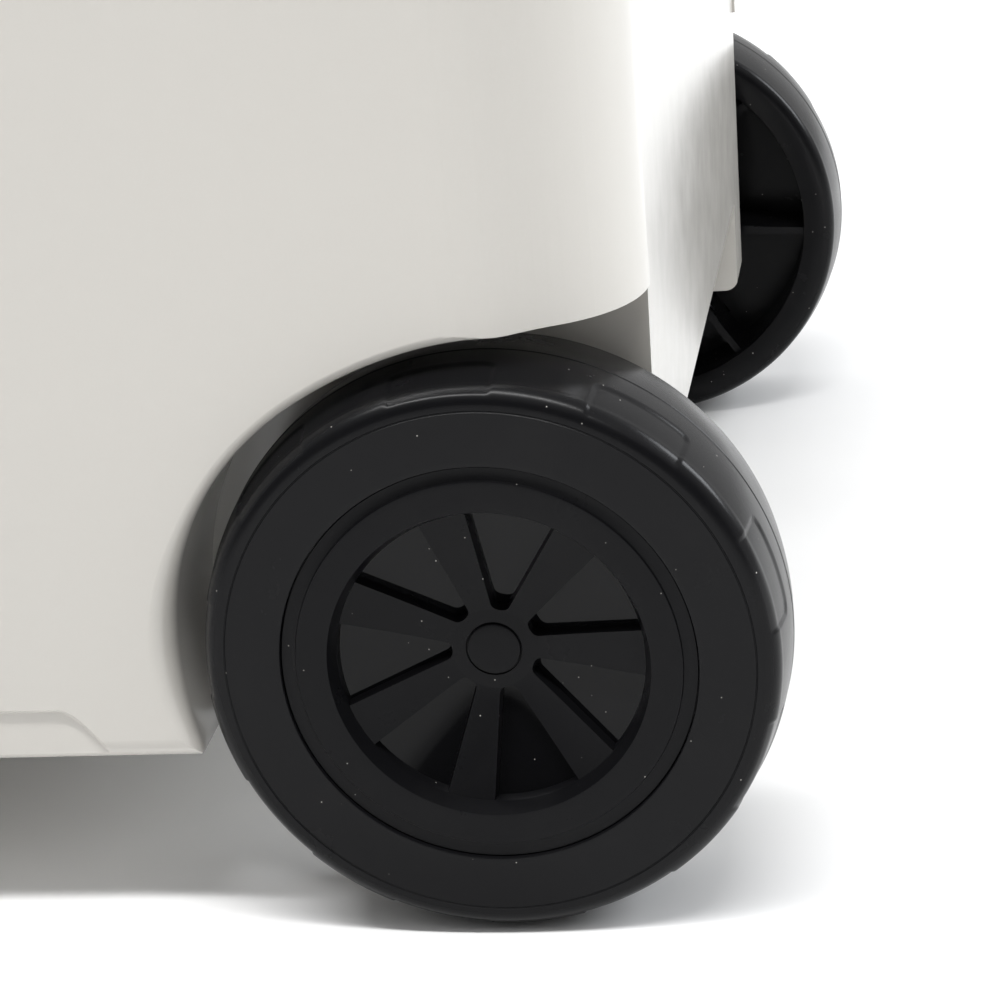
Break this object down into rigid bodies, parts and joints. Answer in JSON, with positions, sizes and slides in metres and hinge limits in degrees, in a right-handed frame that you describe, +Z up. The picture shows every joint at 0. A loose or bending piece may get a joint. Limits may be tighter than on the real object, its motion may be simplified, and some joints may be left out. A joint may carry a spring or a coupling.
{
  "type": "wheeled cooler box",
  "caption": "Insulated hard cooler box on wheels with a hinged lid, swing latches, a tow handle, a carry handle and a drain.",
  "frame": {"origin": "on the floor under the middle of the overall box", "axes": "+X towards the wheel end, -Y towards the latches, +Z up"},
  "size_m": [0.6624, 0.452, 0.45],
  "materials": {
    "shell_white": "satin",
    "liner_white": "gloss",
    "foam_yellow": "matte",
    "seal_grey": "matte",
    "wheel_black": "satin",
    "hub_black": "satin",
    "axle_steel": "satin",
    "bush_nylon": "satin",
    "hinge_grey": "satin",
    "pin_steel": "satin",
    "screw_steel": "polished",
    "latch_black": "satin",
    "handle_black": "satin",
    "grip_rubber": "matte",
    "foot_black": "satin",
    "drain_black": "satin"
  },
  "bodies": {
    "root": {"outer_shell": "shell_white", "foam_core": "foam_yellow", "inner_liner": "liner_white", "axle": "axle_steel", "axle_bush_near": "bush_nylon", "axle_bush_far": "bush_nylon", "axle_washer_near": "axle_steel", "axle_washer_far": "axle_steel", "push_nut_near": "axle_steel", "push_nut_far": "axle_steel", "hinge_base_left": "hinge_grey", "hinge_base_right": "hinge_grey", "hinge_body_screws": "screw_steel", "hinge_pin_left": "pin_steel", "hinge_pin_right": "pin_steel", "latch_keeper_left": "latch_black", "latch_keeper_right": "latch_black", "latch_keeper_screws": "screw_steel", "tow_bracket_near": "handle_black", "tow_bracket_far": "handle_black", "tow_bracket_screws": "screw_steel", "tow_pin_near": "pin_steel", "tow_pin_far": "pin_steel", "carry_bracket_near": "handle_black", "carry_bracket_far": "handle_black", "carry_bracket_screws": "screw_steel", "carry_pin_near": "pin_steel", "carry_pin_far": "pin_steel", "drain_spout": "drain_black", "drain_gasket": "seal_grey", "drain_nut": "drain_black", "foot_near": "foot_black", "foot_far": "foot_black", "foot_pad_near": "grip_rubber", "foot_pad_far": "grip_rubber", "foot_screws": "screw_steel"},
    "lid": {"lid_outer": "shell_white", "lid_foam": "foam_yellow", "lid_liner": "liner_white", "lid_gasket": "seal_grey", "hinge_flap_left": "hinge_grey", "hinge_flap_right": "hinge_grey", "hinge_lid_screws": "screw_steel", "latch_mount_left": "latch_black", "latch_mount_right": "latch_black", "latch_pin_left": "pin_steel", "latch_pin_right": "pin_steel", "latch_lid_screws": "screw_steel"},
    "latch_left": {"latch_lever_left": "latch_black"},
    "latch_right": {"latch_lever_right": "latch_black"},
    "wheel_near": {"wheel_near": "wheel_black", "wheel_hub_near": "hub_black", "hub_cap_near": "hub_black"},
    "wheel_far": {"wheel_far": "wheel_black", "wheel_hub_far": "hub_black", "hub_cap_far": "hub_black"},
    "tow": {"tow_handle": "handle_black", "tow_grip": "grip_rubber"},
    "carry": {"carry_handle": "handle_black"},
    "drain_plug": {"drain_cap": "drain_black"}
  },
  "joints": [
    {"name": "lid_hinge", "type": "hinge", "parent": "root", "child": "lid", "pos_m": [-0.00025, 0.218, 0.403], "axis": [-1, 0, 0], "range_deg": [0, 105]},
    {"name": "latch_left_pivot", "type": "hinge", "parent": "lid", "child": "latch_left", "pos_m": [-0.15025, -0.218, 0.434], "axis": [-1, 0, 0], "range_deg": [0, 110]},
    {"name": "latch_right_pivot", "type": "hinge", "parent": "lid", "child": "latch_right", "pos_m": [0.14975, -0.218, 0.434], "axis": [-1, 0, 0], "range_deg": [0, 110]},
    {"name": "wheel_near_spin", "type": "hinge", "parent": "root", "child": "wheel_near", "pos_m": [0.26125, -0.1965, 0.07], "axis": [0, 1, 0], "continuous": true},
    {"name": "wheel_far_spin", "type": "hinge", "parent": "root", "child": "wheel_far", "pos_m": [0.26125, 0.1965, 0.07], "axis": [0, 1, 0], "continuous": true},
    {"name": "tow_pivot", "type": "hinge", "parent": "root", "child": "tow", "pos_m": [-0.31625, 0, 0.33], "axis": [0, 1, 0], "range_deg": [0, 150]},
    {"name": "carry_pivot", "type": "hinge", "parent": "root", "child": "carry", "pos_m": [0.31575, 0, 0.368], "axis": [0, -1, 0], "range_deg": [0, 110]},
    {"name": "drain_turn", "type": "hinge", "parent": "root", "child": "drain_plug", "pos_m": [-0.21025, 0.218, 0.1], "axis": [0, 1, 0], "range_deg": [0, 360]}
  ]
}
